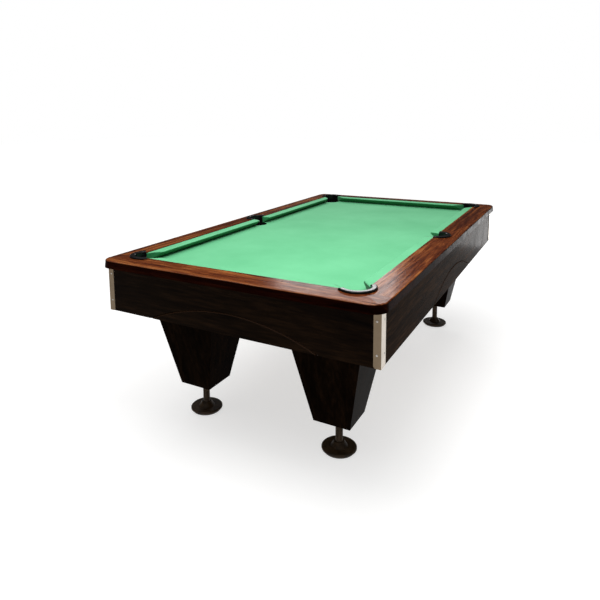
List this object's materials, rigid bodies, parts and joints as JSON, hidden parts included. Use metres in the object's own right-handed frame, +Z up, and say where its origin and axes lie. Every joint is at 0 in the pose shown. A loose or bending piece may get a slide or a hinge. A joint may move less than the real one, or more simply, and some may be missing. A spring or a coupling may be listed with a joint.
{
  "type": "billiard table",
  "caption": "Pocket billiard table with a green slate bed, cushioned wooden rails, an arched cabinet, tapered square legs and levelling feet that screw out.",
  "frame": {"origin": "on the floor under the middle of the table, at the level of the feet's undersides", "axes": "+Z up, +Y along the table's length towards the rear end, +X across it towards the right side rail"},
  "size_m": [1.462, 2.556, 0.89],
  "materials": {
    "rail_wood": "glossy reddish-brown lacquer",
    "cabinet_wood": "satin near-black brown lacquer",
    "frame_wood": "bare timber, not in view",
    "slate": null,
    "cloth": "tight green wool cloth",
    "cushion_rubber": "moulded rubber under the cloth",
    "dark_strip": "dark strip in the seam of rail and cloth",
    "liner_black": "glossy black moulding",
    "cup_black": "matt black moulding",
    "trim_metal": "brushed, clear coated",
    "screw_metal": "bright zinc plate",
    "steel": "dull plated steel",
    "foot_iron": "dark bronze-brown paint"
  },
  "bodies": {
    "table": {"bed_cloth": "cloth", "centre_beam": "frame_wood", "corner_blocks": "frame_wood", "corner_trim_front_left": "trim_metal", "corner_trim_front_right": "trim_metal", "corner_trim_rear_left": "trim_metal", "corner_trim_rear_right": "trim_metal", "cross_beams": "frame_wood", "cushion_cloth_front": "cloth", "cushion_cloth_left_front": "cloth", "cushion_cloth_left_rear": "cloth", "cushion_cloth_rear": "cloth", "cushion_cloth_right_front": "cloth", "cushion_cloth_right_rear": "cloth", "cushion_rubbers": "cushion_rubber", "end_apron_front": "cabinet_wood", "end_apron_rear": "cabinet_wood", "end_rail_front": "rail_wood", "end_rail_rear": "rail_wood", "feather_strips": "dark_strip", "leg_bolts": "steel", "leg_front_left": "cabinet_wood", "leg_front_right": "cabinet_wood", "leg_nuts": "steel", "leg_rear_left": "cabinet_wood", "leg_rear_right": "cabinet_wood", "long_beam_left": "frame_wood", "long_beam_right": "frame_wood", "pocket_cup_front_left": "cup_black", "pocket_cup_front_right": "cup_black", "pocket_cup_middle_left": "cup_black", "pocket_cup_middle_right": "cup_black", "pocket_cup_rear_left": "cup_black", "pocket_cup_rear_right": "cup_black", "pocket_liner_front_left": "liner_black", "pocket_liner_front_right": "liner_black", "pocket_liner_middle_left": "liner_black", "pocket_liner_middle_right": "liner_black", "pocket_liner_rear_left": "liner_black", "pocket_liner_rear_right": "liner_black", "rail_bolts": "steel", "side_apron_left": "cabinet_wood", "side_apron_right": "cabinet_wood", "side_rail_left": "rail_wood", "side_rail_left_middle": "rail_wood", "side_rail_right": "rail_wood", "side_rail_right_middle": "rail_wood", "slate_front": "slate", "slate_middle": "slate", "slate_rear": "slate", "sub_rails": "frame_wood", "trim_screws": "screw_metal"},
    "foot_front_left": {"foot_disc_front_left": "foot_iron"},
    "stem_front_left": {"foot_stem_front_left": "steel"},
    "foot_front_right": {"foot_disc_front_right": "foot_iron"},
    "stem_front_right": {"foot_stem_front_right": "steel"},
    "foot_rear_left": {"foot_disc_rear_left": "foot_iron"},
    "stem_rear_left": {"foot_stem_rear_left": "steel"},
    "foot_rear_right": {"foot_disc_rear_right": "foot_iron"},
    "stem_rear_right": {"foot_stem_rear_right": "steel"}
  },
  "joints": [
    {"name": "front_left_foot_travel", "type": "slide", "parent": "table", "child": "foot_front_left", "axis": [0, 0, -1], "range_m": [0, 0.0251]},
    {"name": "front_left_stem_turn", "type": "hinge", "parent": "foot_front_left", "child": "stem_front_left", "pos_m": [-0.39, -0.895, 0.1], "axis": [0, 0, -1], "range_deg": [0, 2250]},
    {"name": "front_right_foot_travel", "type": "slide", "parent": "table", "child": "foot_front_right", "axis": [0, 0, -1], "range_m": [0, 0.0251]},
    {"name": "front_right_stem_turn", "type": "hinge", "parent": "foot_front_right", "child": "stem_front_right", "pos_m": [0.39, -0.895, 0.1], "axis": [0, 0, -1], "range_deg": [0, 2250]},
    {"name": "rear_left_foot_travel", "type": "slide", "parent": "table", "child": "foot_rear_left", "axis": [0, 0, -1], "range_m": [0, 0.0251]},
    {"name": "rear_left_stem_turn", "type": "hinge", "parent": "foot_rear_left", "child": "stem_rear_left", "pos_m": [-0.39, 0.895, 0.1], "axis": [0, 0, -1], "range_deg": [0, 2250]},
    {"name": "rear_right_foot_travel", "type": "slide", "parent": "table", "child": "foot_rear_right", "axis": [0, 0, -1], "range_m": [0, 0.0251]},
    {"name": "rear_right_stem_turn", "type": "hinge", "parent": "foot_rear_right", "child": "stem_rear_right", "pos_m": [0.39, 0.895, 0.1], "axis": [0, 0, -1], "range_deg": [0, 2250]}
  ],
  "couplings": [
    {"joint": "front_left_foot_travel", "follows": "front_left_stem_turn", "m_per_rad": 0.00063662},
    {"joint": "front_right_foot_travel", "follows": "front_right_stem_turn", "m_per_rad": 0.00063662},
    {"joint": "rear_left_foot_travel", "follows": "rear_left_stem_turn", "m_per_rad": 0.00063662},
    {"joint": "rear_right_foot_travel", "follows": "rear_right_stem_turn", "m_per_rad": 0.00063662}
  ]
}
